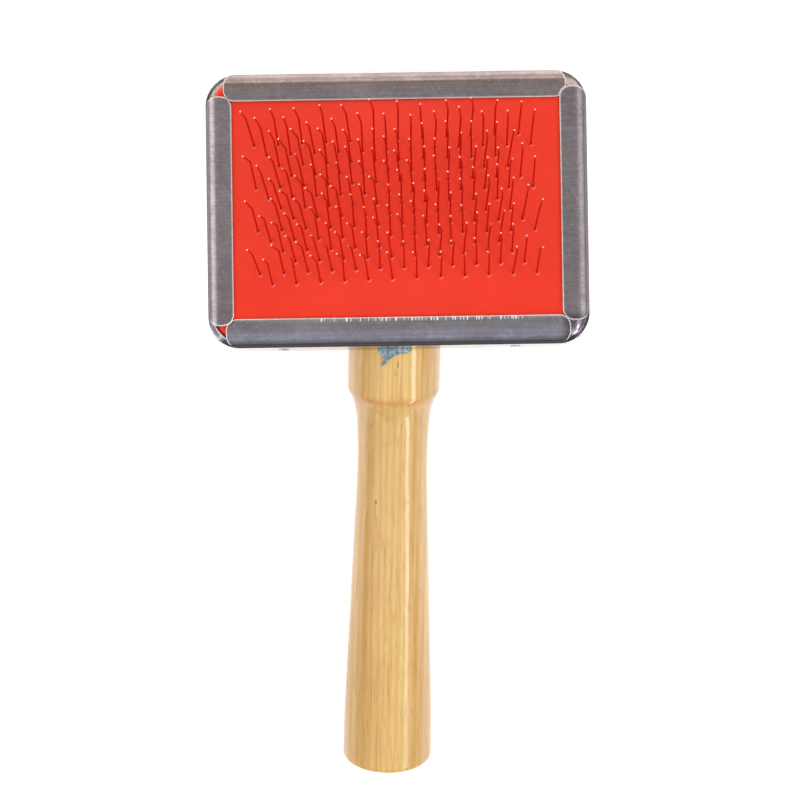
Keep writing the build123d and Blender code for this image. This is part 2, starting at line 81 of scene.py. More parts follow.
head_z = main_normal("head_board")
head_x = Vector((1, 0, 0))
head_y = head_z.cross(head_x).normalized()
AXES = np.array([head_x, head_y, head_z])
board = points_of("head_board") @ AXES.T
ORIGIN = np.array([
    (board[:, 0].min() + board[:, 0].max()) / 2,
    (board[:, 1].min() + board[:, 1].max()) / 2,
    board[:, 2].min(),
]) @ AXES


def to_head(points):
    return (np.asarray(points, float) - ORIGIN) @ AXES.T / MM


def from_head(points):
    return np.asarray(points, float) * MM @ AXES + ORIGIN


def head_dir(x, y, z):
    return Vector(np.array([x, y, z]) @ AXES).normalized()


HEAD_MATRIX = Matrix((head_x, head_y, head_z)).transposed()


def turned_head(angle):
    """The head's frame turned about its normal."""
    return HEAD_MATRIX @ Euler((0, 0, angle)).to_matrix()


# ------------------------------------------------------------------ levels and sizes from the CAD
UNDER_FLANGE = 26.6    # beyond this x the layers lie flat under the side flanges
WIRE_SPACE = 0.7       # crossings nearer than this are on one wire
rubber_cad = to_head(points_of("rubber_face"))
cloth_cad = to_head(points_of("cloth_foundation"))
pad_cad = to_head(points_of("cushion_pad"))
FACE_Z = float(rubber_cad[np.abs(rubber_cad[:, 0]) > UNDER_FLANGE][:, 2].max())
RUBBER_LOW = rubber_cad[:, 2].min()
CLOTH_LOW = cloth_cad[:, 2].min()
CLOTH_HIGH = cloth_cad[np.abs(cloth_cad[:, 0]) > UNDER_FLANGE][:, 2].max()
PAD_LOW = pad_cad[:, 2].min()
PAD_HIGH = pad_cad[np.abs(pad_cad[:, 0]) > UNDER_FLANGE][:, 2].max()
HALF_X = float(np.abs(cloth_cad[:, 0]).max())
HALF_Y = float(np.abs(cloth_cad[:, 1]).max())
strip_cad = to_head(points_of("edge_strip_main"))
OUTLINE_X = float(-strip_cad[:, 0].min())
OUTLINE_Y = float(strip_cad[:, 1].max())
FOLD_X = 25.1          # the closing strip's folded corners stand beyond these
FOLD_Y = 16.6
FOLD_CENTRE = (25.25, 16.75)
FOLD_R = 1.2
HEAD_W = 60.5
HEAD_H = 43.5
CORNER_R = 4.55        # corner radius inside the strip's walls
RIM_SLOPE = 1.12       # the rubber's rim slopes inward by this much
DOME_X = HALF_X - 3.9  # half sizes of the window between the flanges
DOME_Y = HALF_Y - 4.1
CROWN = float(rubber_cad[:, 2].max()) - FACE_Z


def dome(x, y):
    u = np.minimum(1.0, np.abs(x) / DOME_X)
    v = np.minimum(1.0, np.abs(y) / DOME_Y)
    return CROWN * (1 - u * u) * (1 - v * v)


# ------------------------------------------------------------------ where the pins leave the rubber
def pin_roots():
    """The middle of each wire where it crosses the rubber's face."""
    found = []
    for name in sorted(nodes):
        if not name.startswith("staple_row"):
            continue
        mesh = nodes[name].data
        spots = to_head(points_of(name))
        ends = np.empty(len(mesh.edges) * 2, np.int32)
        mesh.edges.foreach_get("vertices", ends)
        ends = ends.reshape(-1, 2)
        a, b = spots[ends[:, 0]], spots[ends[:, 1]]
        over_a = a[:, 2] - FACE_Z - dome(a[:, 0], a[:, 1])
        over_b = b[:, 2] - FACE_Z - dome(b[:, 0], b[:, 1])
        cross = over_a * over_b < 0
        a, b, over_a, over_b = a[cross], b[cross], over_a[cross], over_b[cross]
        share = (over_a / (over_a - over_b))[:, None]
        hits = a + (b - a) * share
        left = list(range(len(hits)))
        while left:
            first = hits[left[0]]
            group = [i for i in left if np.linalg.norm(hits[i] - first) < WIRE_SPACE]
            left = [i for i in left if i not in group]
            found.append(hits[group].mean(0))
    return found


PINS = pin_roots()

# ------------------------------------------------------------------ meshes


def add_mesh(name, points, faces):
    """A new piece from points in the head's frame, riding on the brush."""
    mesh = bpy.data.meshes.new(name)
    mesh.from_pydata([tuple(p) for p in from_head(points)], [], faces)
    mesh.validate()
    mesh.update()
    mesh.shade_smooth()
    piece = bpy.data.objects.new(name, mesh)
    scene.collection.objects.link(piece)
    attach(piece, "root")
    return piece


def layer(half_x, half_y, radius, step, cut_right):
    """A grid over the head's rounded rectangle: points, quads and the boundary's edges in order."""
    nx = int(round(2 * half_x / step))
    ny = int(round(2 * half_y / step))
    xs = np.linspace(-half_x, half_x, nx + 1)
    ys = np.linspace(-half_y, half_y, ny + 1)
    gx, gy = np.meshgrid(xs, ys, indexing="ij")
    cx, cy = half_x - radius, half_y - radius
    dx, dy = np.abs(gx) - cx, np.abs(gy) - cy
    reach = np.hypot(dx, dy)
    corner = (dx > 0) & (dy > 0)
    outside = corner & (reach > radius + 1e-6)
    gone = np.zeros_like(outside)
    if cut_right:
        # the folded corners of the closing strip take the right corners' room
        past_fold = np.hypot(gx - FOLD_CENTRE[0], np.abs(gy) - FOLD_CENTRE[1]) > FOLD_R
        gone = (gx > FOLD_X) & (np.abs(gy) > FOLD_Y) & past_fold
    keep = []
    for i in range(nx):
        for j in range(ny):
            block_out = outside[i:i + 2, j:j + 2]
            if block_out.all() or gone[i:i + 2, j:j + 2].any():
                continue
            keep.append((i, j))
    fix = np.where(outside, radius / np.maximum(reach, 1e-9), 1.0)
    gx = np.where(outside, np.sign(gx) * (cx + dx * fix), gx)
    gy = np.where(outside, np.sign(gy) * (cy + dy * fix), gy)
    number = -np.ones((nx + 1, ny + 1), int)
    quads = []
    order = []
    for i, j in keep:
        quad = []
        for a, b in ((i, j), (i + 1, j), (i + 1, j + 1), (i, j + 1)):
            if number[a, b] < 0:
                number[a, b] = len(order)
                order.append((a, b))
            quad.append(int(number[a, b]))
        quads.append(quad)
    order = np.array(order)
    flat = np.column_stack([gx[order[:, 0], order[:, 1]], gy[order[:, 0], order[:, 1]]])
    sides = {}
    for quad in quads:
        for k in range(4):
            sides[(quad[k], quad[(k + 1) % 4])] = True
    rim = [(a, b) for a, b in sides if (b, a) not in sides]
    return flat, quads, rim


def slab(name, flat, quads, rim, top, low, out):
    """A closed layer between two surfaces, with a rounded edge whose middle can stand out."""
    n = len(flat)
    points = [np.column_stack([flat, top(flat[:, 0], flat[:, 1])])]
    points.append(np.column_stack([flat, low(flat[:, 0], flat[:, 1])]))
    rim_ids = sorted({a for a, b in rim})
    slot = {v: 2 * n + k for k, v in enumerate(rim_ids)}
    edge = np.zeros((n, 2))
    for a, b in rim:
        run = flat[b] - flat[a]
        side = np.array([run[1], -run[0]])
        side /= max(np.linalg.norm(side), 1e-9)
        edge[a] += side
        edge[b] += side
    ids = np.array(rim_ids)
    push = edge[ids] / np.maximum(np.linalg.norm(edge[ids], axis=1), 1e-9)[:, None]
    mid = flat[ids] + push * out
    mid_z = (points[0][ids, 2] + points[1][ids, 2]) / 2
    points.append(np.column_stack([mid, mid_z]))
    faces = [list(q) for q in quads]
    faces += [[q[3] + n, q[2] + n, q[1] + n, q[0] + n] for q in quads]
    for a, b in rim:
        faces.append([b, a, slot[a], slot[b]])
        faces.append([slot[b], slot[a], a + n, b + n])
    return add_mesh(name, np.vstack(points), faces)


def bumps(x, y, height, spread, shift_y):
    """Small mounds in a surface around the pins."""
    total = np.zeros_like(x)
    for root in PINS:
        r2 = (x - root[0]) ** 2 + (y - root[1] - shift_y) ** 2
        near = r2 < (4 * spread) ** 2
        total[near] += height * np.exp(-r2[near] / (2 * spread * spread))
    return total


def soft_waves(x, y, size, amount, seed):
    """A slow, repeatable unevenness."""
    total = np.zeros_like(x)
    rng = np.random.RandomState(seed)
    for k in range(6):
        turn = rng.uniform(0, math.tau)
        rate = math.tau / (size * rng.uniform(0.7, 1.5))
        total += np.sin((x * math.cos(turn) + y * math.sin(turn)) * rate + rng.uniform(0, math.tau))
    return amount * total / 6


def clamped(x, y):
    """1 in the open window, 0 under the strips."""
    u = np.clip((DOME_X - np.abs(x)) / 1.5, 0, 1)
    v = np.clip((DOME_Y - np.abs(y)) / 1.5, 0, 1)
    return u * v


# red rubber face
flat, quads, rim = layer(HALF_X - RIM_SLOPE, HALF_Y - RIM_SLOPE, CORNER_R - RIM_SLOPE, 0.24, True)


def rubber_top(x, y):
    free = clamped(x, y)
    rise = bumps(x, y, 0.07, 0.42, -0.22) + soft_waves(x, y, 7.0, 0.03, 3)
    return FACE_Z + dome(x, y) + rise * free


def rubber_low(x, y):
    return RUBBER_LOW + dome(x, y) + 0.02


rubber = slab("rubber_skin", flat, quads, rim, rubber_top, rubber_low, out=0.45)


def collar_ring(root, steps=20):
    """The lip that the wire has pushed up where it comes through."""
    profile = (
        (0.175, -0.2), (0.165, 0.0), (0.2, 0.1), (0.27, 0.12), (0.36, 0.075), (0.5, -0.03), (0.5, -0.2),
    )
    points = []
    for k in range(steps):
        t = math.tau * k / steps
        c, s = math.cos(t), math.sin(t)
        lift = 1.0 - 0.45 * s
        for r, h in profile:
            x = root[0] + r * c
            y = root[1] + r * s * 1.12 - 0.04
            z = FACE_Z + float(dome(x, y)) + 0.05 + (h * lift if h > 0 else h)
            points.append((x, y, z))
    m = len(profile)
    faces = []
    for k in range(steps):
        for p in range(m):
            a, b = k * m + p, k * m + (p + 1) % m
            c2, d = ((k + 1) % steps) * m + (p + 1) % m, ((k + 1) % steps) * m + p
            faces.append([a, b, c2, d])
    return points, faces


lip_points, lip_faces = [], []
for root in PINS:
    p, f = collar_ring(root)
    base = len(lip_points)
    lip_points += p
    lip_faces += [[base + v for v in q] for q in f]
lips = add_mesh("rubber_lips", np.array(lip_points), lip_faces)

# foam pad
flat, quads, rim = layer(HALF_X - 0.25, HALF_Y - 0.25, CORNER_R - 0.25, 0.9, True)
pad = slab(
    "foam_pad", flat, quads, rim,
    lambda x, y: PAD_HIGH - 0.03 + dome(x, y) + soft_waves(x, y, 5.0, 0.02, 7),
    lambda x, y: PAD_LOW + 0.02 + 0 * x,
    out=0.2,
)

# cloth foundation
flat, quads, rim = layer(HALF_X - 0.1, HALF_Y - 0.1, CORNER_R - 0.1, 0.45, True)
cloth = slab(
    "cloth_layer", flat, quads, rim,
    lambda x, y: CLOTH_HIGH - 0.02 + dome(x, y),
    lambda x, y: CLOTH_LOW + 0.02 + dome(x, y),
    out=0.06,
)

# ------------------------------------------------------------------ material kit


class Shader:
    """A principled material and short calls for its nodes."""

    def __init__(self, name, **values):
        self.material = bpy.data.materials.new(name)
        self.material.use_nodes = True
        self.tree = self.material.node_tree
        self.tree.nodes.clear()
        self.out = self.tree.nodes.new("ShaderNodeOutputMaterial")
        self.bsdf = self.tree.nodes.new("ShaderNodeBsdfPrincipled")
        self.tree.links.new(self.bsdf.outputs[0], self.out.inputs[0])
        for key, value in values.items():
            self.bsdf.inputs[key.replace("_", " ")].default_value = value

    def put(self, target, value):
        if isinstance(value, bpy.types.NodeSocket):
            self.tree.links.new(value, target)
        else:
            if isinstance(value, tuple) and len(value) == 3 and target.type == "RGBA":
                value = (*value, 1.0)
            target.default_value = value

    def set(self, name, value):
        self.put(self.bsdf.inputs[name], value)

    def node(self, kind, inputs=None, **settings):
        made = self.tree.nodes.new(kind)
        for key, value in settings.items():
            setattr(made, key, value)
        for key, value in (inputs or {}).items():
            self.put(made.inputs[key], value)
        return made

    def math(self, operation, a, b=0.0, c=0.0, clamp=False):
        made = self.node("ShaderNodeMath", operation=operation, use_clamp=clamp)
        for k, value in enumerate((a, b, c)):
            if k < len(made.inputs):
                self.put(made.inputs[k], value)
        return made.outputs[0]

    def coords(self, matrix, origin, stretch=(1, 1, 1)):
        """Object coordinates in a given frame, in mm over the stretch of each axis."""
        where = self.node("ShaderNodeTexCoord").outputs["Object"]
        made = self.node(
            "ShaderNodeMapping",
            {
                "Vector": where,
                "Location": tuple(origin),
                "Rotation": tuple(matrix.to_euler()),
                "Scale": tuple(MM * s for s in stretch),
            },
            vector_type="TEXTURE",
        )
        return made.outputs[0]

    def facing(self, direction):
        """How far the surface faces a direction."""
        normal = self.node("ShaderNodeTexCoord").outputs["Normal"]
        made = self.node("ShaderNodeVectorMath", {0: normal, 1: tuple(direction)}, operation="DOT_PRODUCT")
        return made.outputs["Value"]

    def weave(self, direction):
        """Threads that run across one direction of the head."""
        made = self.node(
            "ShaderNodeTexWave",
            {"Vector": self.coords(HEAD_MATRIX, ORIGIN), "Scale": 0.55, "Distortion": 0.6},
            bands_direction=direction,
        )
        return made.outputs["Fac"]

    def product(self, first, *others):
        for other in others:
            first = self.math("MULTIPLY", first, other)
        return first

    def along(self, value, half, stops):
        """A tone that changes by position, in mm, between -half and half."""
        return self.ramp(self.span(value, -half, half), [((half + at) / (2 * half), tone) for at, tone in stops])

    def split(self, vector):
        return self.node("ShaderNodeSeparateXYZ", {0: vector}).outputs

    def noise(self, vector, scale, detail=3.0, rough=0.5, distortion=0.0):
        made = self.node(
            "ShaderNodeTexNoise",
            {"Vector": vector, "Scale": scale, "Detail": detail, "Roughness": rough, "Distortion": distortion},
        )
        return made.outputs["Fac"]

    def ramp(self, value, stops, ease="LINEAR"):
        made = self.node("ShaderNodeValToRGB", {0: value})
        ramp = made.color_ramp
        ramp.interpolation = ease
        while len(ramp.elements) < len(stops):
            ramp.elements.new(0.5)
        for element, (place, colour) in zip(ramp.elements, stops):
            element.position = place
            if isinstance(colour, (int, float)):
                colour = (colour, colour, colour)
            element.color = (*colour, 1.0)
        return made.outputs[0]

    def span(self, value, low, high, to_low=0.0, to_high=1.0):
        made = self.node(
            "ShaderNodeMapRange",
            {"Value": value, "From Min": low, "From Max": high, "To Min": to_low, "To Max": to_high},
        )
        return made.outputs[0]

    def mix(self, share, a, b, blend="MIX"):
        made = self.node("ShaderNodeMix", data_type="RGBA", blend_type=blend)
        self.put(made.inputs[0], share)
        self.put(made.inputs[6], a)
        self.put(made.inputs[7], b)
        return made.outputs[2]

    def bump(self, height, distance_mm, strength=1.0, normal=None):
        inputs = {"Height": height, "Distance": distance_mm * MM, "Strength": strength}
        if normal is not None:
            inputs["Normal"] = normal
        return self.node("ShaderNodeBump", inputs).outputs[0]

    def edge(self, radius_mm, samples=6):
        """0 on flat ground, rising to 1 on edges."""
        rounded = self.node("ShaderNodeBevel", {"Radius": radius_mm * MM}, samples=samples).outputs[0]
        plain = self.node("ShaderNodeNewGeometry").outputs["Normal"]
        dot = self.node("ShaderNodeVectorMath", operation="DOT_PRODUCT")
        self.put(dot.inputs[0], rounded)
        self.put(dot.inputs[1], plain)
        return self.span(dot.outputs["Value"], 0.997, 0.93)


def dress(piece, shader):
    piece.data.materials.clear()
    piece.data.materials.append(shader.material)


# ------------------------------------------------------------------ handle frame
mount = next(m for m in frame["record"]["mounts"] if m["name"] == "handle_end")
HANDLE_END = Vector(mount["pos_m"])
axis = -Vector(mount["axis"]).normalized()      # from the handle's end toward the head
side = head_x - axis * head_x.dot(axis)
side.normalize()
front = side.cross(axis).normalized()
HANDLE_MATRIX = Matrix((side, axis, front)).transposed()   # y runs up the handle
HANDLE_LEN = 75.6
COLLAR_LEN = 8.3
COLLAR_R = 7.5


def wood_shader(name, matrix, origin, light, dark, coat, coat_rough, seed):
    """Straight-grained blond wood under lacquer; y is along the grain, in mm."""
    s = Shader(name, Roughness=0.5, Coat_Weight=coat, Coat_Roughness=coat_rough, Coat_IOR=1.42)
    flat_grain = s.coords(matrix, origin, (1, 14, 1))
    grain = s.node("ShaderNodeVectorMath", {0: flat_grain, 1: (seed, seed * 0.37, seed * 0.71)}).outputs[0]
    broad = s.noise(grain, 0.22, 3.0, 0.55, 0.3)
    fine = s.noise(grain, 2.4, 4.0, 0.65)
    rings = s.node(
        "ShaderNodeTexWave",
        {"Vector": grain, "Scale": 0.3, "Distortion": 4.5, "Detail": 3.0, "Detail Scale": 0.9},
        bands_direction="X",
    ).outputs["Fac"]
    pores = s.noise(s.coords(matrix, origin, (0.35, 7, 0.35)), 1.6, 2.0, 0.5)
    cloud = s.noise(s.coords(matrix, origin, (1, 2.5, 1)), 0.25, 3.0, 0.6)
    tone = s.math("ADD", s.math("MULTIPLY", broad, 0.42), s.math("MULTIPLY", fine, 0.26))
    tone = s.math("ADD", tone, s.math("MULTIPLY", rings, 0.12))
    tone = s.math("ADD", tone, s.math("MULTIPLY", cloud, 0.2))
    middle = tuple((a + b) / 2 for a, b in zip(light, dark))
    colour = s.ramp(tone, [(0.36, dark), (0.5, middle), (0.62, light)])
    streak = s.span(pores, 0.60, 0.70, 0.0, 0.55)
    colour = s.mix(streak, colour, tuple(c * f for c, f in zip(dark, (0.86, 0.7, 0.45))))
    return s, colour, fine, pores


# ------------------------------------------------------------------ materials
LIGHT_WOOD = (0.70, 0.465, 0.175)
DARK_WOOD = (0.575, 0.335, 0.083)

s, colour, fine, pores = wood_shader(
    "lacquered_wood", HANDLE_MATRIX, HANDLE_END, LIGHT_WOOD, DARK_WOOD, 0.9, 0.07, 3.0
)
place = s.coords(HANDLE_MATRIX, HANDLE_END)
px, py, pz = s.split(place)
# lacquer gathers below the collar's bevel and darkens the cut grain there
bow = s.math("MULTIPLY", s.math("MULTIPLY", px, px), 0.031)
level = s.math("ADD", py, s.math("MULTIPLY", s.noise(place, 0.35, 2.0), 1.0))
level = s.math("ADD", level, bow)
band_y = HANDLE_LEN - COLLAR_LEN
band = s.math("ABSOLUTE", s.math("SUBTRACT", level, band_y + 0.4))
band = s.span(band, 0.15, 0.85, 1.0, 0.0)
colour = s.mix(s.math("MULTIPLY", band, 0.75), colour, (0.60, 0.27, 0.03))
# long orange lines in the grain, and painted shade toward the handle's sides
lines = s.noise(s.coords(HANDLE_MATRIX, HANDLE_END, (0.45, 30, 0.45)), 1.1, 3.0, 0.6)
colour = s.mix(s.span(lines, 0.56, 0.68, 0.0, 0.65), colour, (0.50, 0.25, 0.05))
colour = s.mix(s.span(lines, 0.40, 0.30, 0.0, 0.5), colour, (0.78, 0.56, 0.24))
blotch = s.noise(s.coords(HANDLE_MATRIX, HANDLE_END, (1, 2.2, 1)), 0.5, 4.0, 0.7)
colour = s.mix(s.span(blotch, 0.55, 0.7, 0.0, 0.35), colour, (0.52, 0.28, 0.06))
# painted shade toward both sides of the handle, deepest and most orange on the left, set by position across it
side_shade_ramp = s.ramp(s.span(px, -COLLAR_R, COLLAR_R), [
    (0.05, (0.76, 0.70, 0.64)), (0.17, (0.84, 0.75, 0.58)), (0.27, (0.83, 0.71, 0.46)),
    (0.32, (0.98, 0.90, 0.76)), (0.5, (1.0, 0.95, 0.80)), (0.65, (1.0, 0.98, 0.86)),
    (0.74, (0.93, 0.85, 0.68)), (0.84, (0.84, 0.77, 0.66)),
    (0.95, (0.74, 0.66, 0.60)),
])
colour = s.mix(1.0, colour, side_shade_ramp, "MULTIPLY")
# painted light: the collar is lightened above the bevel band
colour = s.mix(s.span(py, band_y - 0.5, band_y + 1.0), colour, (1.12, 1.13, 1.1), "MULTIPLY")
# a few dark flecks in the grain
for at_x, at_y, wide, tall, depth in (
    (0.55, 73.9, 0.14, 0.75, 0.75), (0.15, 72.3, 0.10, 0.5, 0.5), (-2.62, 48.7, 0.22, 0.42, 0.8),
    (-2.75, 47.0, 0.12, 2.2, 0.35), (-3.0, 38.5, 0.12, 3.0, 0.35), (2.9, 12.0, 0.12, 1.6, 0.35),
):
    off_x = s.math("DIVIDE", s.math("SUBTRACT", px, at_x), wide)
    off_y = s.math("DIVIDE", s.math("SUBTRACT", py, at_y), tall)
    off = s.math("ADD", s.math("MULTIPLY", off_x, off_x), s.math("MULTIPLY", off_y, off_y))
    share = s.math("MULTIPLY", s.span(off, 1.2, 0.2, 0.0, depth), s.span(pz, 0.0, 1.0))
    colour = s.mix(share, colour, (0.13, 0.045, 0.004))
s.set("Base Color", colour)
s.set("Roughness", s.span(fine, 0.3, 0.7, 0.42, 0.55))
s.set("Normal", s.bump(pores, 0.02, 0.25))
s.set("Coat Normal", s.bump(s.noise(place, 0.22, 2.0), 0.12, 0.35))
# the lacquer is thinner toward the handle's end
s.set("Coat Weight", s.span(py, 33.0, 20.0, 0.9, 0.55))
handle_wood = s

s, colour, fine, pores = wood_shader(
    "board_wood", turned_head(math.pi / 2), ORIGIN, (0.56, 0.38, 0.18), (0.40, 0.235, 0.09), 0.4, 0.25, 9.0
)
s.set("Base Color", colour)
s.set("Roughness", s.span(fine, 0.3, 0.7, 0.45, 0.62))
s.set("Normal", s.bump(pores, 0.04, 0.4))
board_wood = s

# red rubber
s = Shader("red_rubber", Roughness=0.42, Specular_IOR_Level=0.32, Sheen_Weight=0.05, Sheen_Roughness=0.5)
place = s.coords(HEAD_MATRIX, ORIGIN)
cloud = s.noise(place, 0.12, 3.0, 0.5)
speck = s.noise(place, 2.2, 2.0, 0.5)
colour = s.ramp(cloud, [(0.3, (0.72, 0.028, 0.0085)), (0.7, (0.78, 0.033, 0.010))])
x, y, z = s.split(place)
crown = s.span(z, FACE_Z + 0.2, FACE_Z + CROWN, 0.0, 1.0)
s.set("Base Color", s.mix(crown, colour, (0.87, 0.038, 0.012)))
s.set("Roughness", s.span(speck, 0.3, 0.7, 0.36, 0.5))
s.set("Normal", s.bump(s.noise(place, 5.0, 3.0, 0.6), 0.012, 0.5))
red_rubber = s

# the lips are paler on the side facing the handle: partly stretched rubber, partly a painted highlight
s = Shader("lip_rubber", Roughness=0.4, Specular_IOR_Level=0.4)
place = s.coords(HEAD_MATRIX, ORIGIN)
toward_handle = s.facing(head_x * 0.5 - head_y)
pale_and_lit = s.ramp(s.noise(place, 1.2, 2.0), [(0.35, (0.85, 0.07, 0.04)), (0.6, (0.95, 0.16, 0.12))])
s.set("Base Color", s.mix(s.span(toward_handle, 0.2, 0.6), (0.74, 0.028, 0.009), pale_and_lit))
s.set("Normal", s.bump(s.noise(place, 6.0, 2.0), 0.012, 0.5))
lip_rubber = s

# foam and cloth
s = Shader("foam", Roughness=0.9, Sheen_Weight=0.1)
place = s.coords(HEAD_MATRIX, ORIGIN)
cells = s.node("ShaderNodeTexVoronoi", {"Vector": place, "Scale": 3.2}).outputs["Distance"]
s.set("Base Color", s.ramp(cells, [(0.0, (0.62, 0.58, 0.48)), (0.6, (0.74, 0.71, 0.62))]))
s.set("Normal", s.bump(cells, 0.12, 0.8))
foam = s

s = Shader("woven_cloth", Roughness=0.85, Sheen_Weight=0.2)
weave = s.math("MAXIMUM", s.weave("X"), s.weave("Y"))
s.set("Base Color", s.ramp(weave, [(0.2, (0.42, 0.38, 0.31)), (0.9, (0.66, 0.62, 0.53))]))
s.set("Normal", s.bump(weave, 0.1, 0.7))
woven = s

# drawn steel wire: a painted reflection of the red rubber along it, a painted highlight on the cut tips, plain
# steel where it faces back
s = Shader("pin_wire", Metallic=1.0, Roughness=0.3)
place = s.coords(HEAD_MATRIX, ORIGIN)
x, y, z = s.split(place)
u = s.math("DIVIDE", x, DOME_X)
v = s.math("DIVIDE", y, DOME_Y)
rise = s.math(
    "MULTIPLY",
    s.math("SUBTRACT", 1.0, s.math("MULTIPLY", u, u), clamp=True),
    s.math("SUBTRACT", 1.0, s.math("MULTIPLY", v, v), clamp=True),
)
height = s.math("SUBTRACT", s.math("SUBTRACT", z, FACE_Z), s.math("MULTIPLY", rise, CROWN))
facing = s.facing(head_z)
# painted highlight on the cut tips that face out of the front
tip_highlight = s.math("MULTIPLY", s.span(facing, 0.8, 0.95), s.span(height, 9.6, 10.0))
# painted reflection of the red rubber, darker near the roots and paler up the wire
colour = s.ramp(
    s.math("DIVIDE", height, 10.5),
    [
        (0.0, (0.66, 0.016, 0.004)), (0.5, (0.70, 0.022, 0.007)),
        (0.7, (0.74, 0.045, 0.022)), (1.0, (0.78, 0.09, 0.055)),
    ],
)
drawn = s.noise(s.coords(HEAD_MATRIX, ORIGIN, (1, 1, 8)), 6.0, 2.0)
colour = s.mix(s.math("MULTIPLY", drawn, 0.2), colour, (0.2, 0.02, 0.015))
steel = s.ramp(drawn, [(0.3, (0.42, 0.36, 0.34)), (0.7, (0.60, 0.54, 0.52))])
colour = s.mix(s.span(facing, -0.05, -0.2), colour, steel)
colour = s.mix(tip_highlight, colour, (1.0, 0.46, 0.34))
s.set("Base Color", colour)
s.set("Metallic", s.span(tip_highlight, 0.0, 1.0, 0.9, 0.1))
s.set("Roughness", s.span(drawn, 0.3, 0.7, 0.28, 0.42))
pin_wire = s

# tin-plated strip
TONGUE_AT = (-27.95, -16.45)
TONGUE_R = 1.85
TONGUE_SHADOW_R = 2.06
s = Shader("tin_strip", Metallic=1.0, Roughness=0.3)
place = s.coords(HEAD_MATRIX, ORIGIN)
x, y, z = s.split(place)
cloud = s.noise(place, 0.1, 4.0, 0.6)
stain = s.noise(place, 0.5, 4.0, 0.65)
mottle = s.noise(place, 1.1, 4.0, 0.6)
drawn_x = s.noise(s.coords(HEAD_MATRIX, ORIGIN, (22, 0.55, 1)), 2.4, 3.0, 0.65)
drawn_y = s.noise(s.coords(HEAD_MATRIX, ORIGIN, (4.0, 0.3, 1)), 1.6, 3.0, 0.65)
scratch_a = s.noise(s.coords(turned_head(0.5), ORIGIN, (0.35, 12, 1)), 2.4, 2.0, 0.5)
scratch_b = s.noise(s.coords(turned_head(-1.0), ORIGIN, (0.3, 9, 1)), 2.4, 2.0, 0.5)
scratch = s.math("MAXIMUM", s.span(scratch_a, 0.64, 0.72), s.span(scratch_b, 0.66, 0.74))
speck = s.span(s.noise(place, 4.5, 1.0, 0.4), 0.7, 0.76)
edge = s.edge(0.36)
# distance from the head's outline: the shoulder rolls over within about 2 mm
reach_x = s.math("SUBTRACT", OUTLINE_X, s.math("ABSOLUTE", x))
reach_y = s.math("SUBTRACT", OUTLINE_Y, s.math("ABSOLUTE", y))
reach = s.math("MINIMUM", reach_x, reach_y)
far_or_near = s.span(y, -1.0, 1.0, 0.0, 0.22)
rolls_at = s.math("MINIMUM", s.math("SUBTRACT", reach_x, 0.12), s.math("ADD", reach_y, far_or_near))
roll = s.node(
    "ShaderNodeMapRange",
    {"Value": rolls_at, "From Min": 0.55, "From Max": 2.1, "To Min": -0.2, "To Max": 0.0},
    interpolation_type="SMOOTHSTEP",
).outputs[0]
colour = s.ramp(cloud, [(0.32, (0.35, 0.30, 0.31)), (0.66, (0.50, 0.435, 0.45))])
colour = s.mix(s.span(stain, 0.42, 0.7, 0.0, 0.55), colour, (0.27, 0.235, 0.25))
colour = s.mix(s.span(mottle, 0.5, 0.72, 0.0, 0.35), colour, (0.62, 0.57, 0.59))
on_sides = s.span(reach_x, 4.5, 4.2)
on_ends = s.math("SUBTRACT", 1.0, on_sides)
drawn = s.math("ADD", s.math("MULTIPLY", drawn_y, on_sides), s.math("MULTIPLY", drawn_x, on_ends))
colour = s.mix(s.span(drawn, 0.32, 0.55, 0.28, 0.0), colour, (0.24, 0.205, 0.215))
colour = s.mix(s.span(drawn, 0.5, 0.72, 0.0, 0.28), colour, (0.62, 0.575, 0.59))
colour = s.mix(s.math("MULTIPLY", scratch, 0.4), colour, (0.75, 0.74, 0.74))
colour = s.mix(s.math("MULTIPLY", speck, 0.6), colour, (0.85, 0.83, 0.8))
near_handle = s.span(y, -16.2, -17.2)
cool = s.product(near_handle, s.span(y, -18.0, -19.4, 0.3, 1.0))
colour = s.mix(cool, colour, (1.10, 1.20, 1.34), "MULTIPLY")
# painted shade on the strip's rolled shoulder, within about 2 mm of the outline
colour = s.mix(s.span(reach, 2.0, 1.2), colour, (0.80, 0.79, 0.79), "MULTIPLY")
# painted highlights and shade on the shoulders: a dark band outside a bright one on the near shoulder, a dark
# band inside a bright one on the far shoulder, a bright band on the right shoulder
on_shoulder = s.span(z, FACE_Z - 1.4, FACE_Z - 0.8)
shoulder_light_y = s.along(y, HEAD_H / 2, (
    (-21.3, 0.38), (-20.95, 0.36), (-20.62, 0.42), (-20.3, 1.25), (-19.9, 1.3), (-19.4, 1.0),
    (20.3, 1.0), (20.7, 0.60), (20.95, 0.85), (21.2, 1.25), (21.5, 1.4),
))
colour = s.mix(on_shoulder, colour, shoulder_light_y, "MULTIPLY")
shoulder_light_x = s.along(x, HEAD_W / 2, ((28.25, 1.0), (28.55, 1.25), (28.8, 1.2), (29.15, 0.92), (29.4, 0.9)))
colour = s.mix(on_shoulder, colour, shoulder_light_x, "MULTIPLY")
# painted highlight along the inner edge of the lower flange
lip = s.math("MULTIPLY", s.span(y, -18.0, -17.35), s.span(reach_x, 3.9, 4.4))
lip = s.math("MULTIPLY", lip, s.span(y, -16.0, -16.4))
colour = s.mix(s.math("MULTIPLY", lip, 0.42), colour, (0.80, 0.74, 0.78))
# painted shade on the fold of the lower right corner
corner_fold_shade = s.math("MULTIPLY", s.span(x, 25.6, 26.6), s.span(y, -16.6, -17.6))
colour = s.mix(corner_fold_shade, colour, (0.5, 0.46, 0.46), "MULTIPLY")
far_side = s.span(y, 18.6, 19.8)
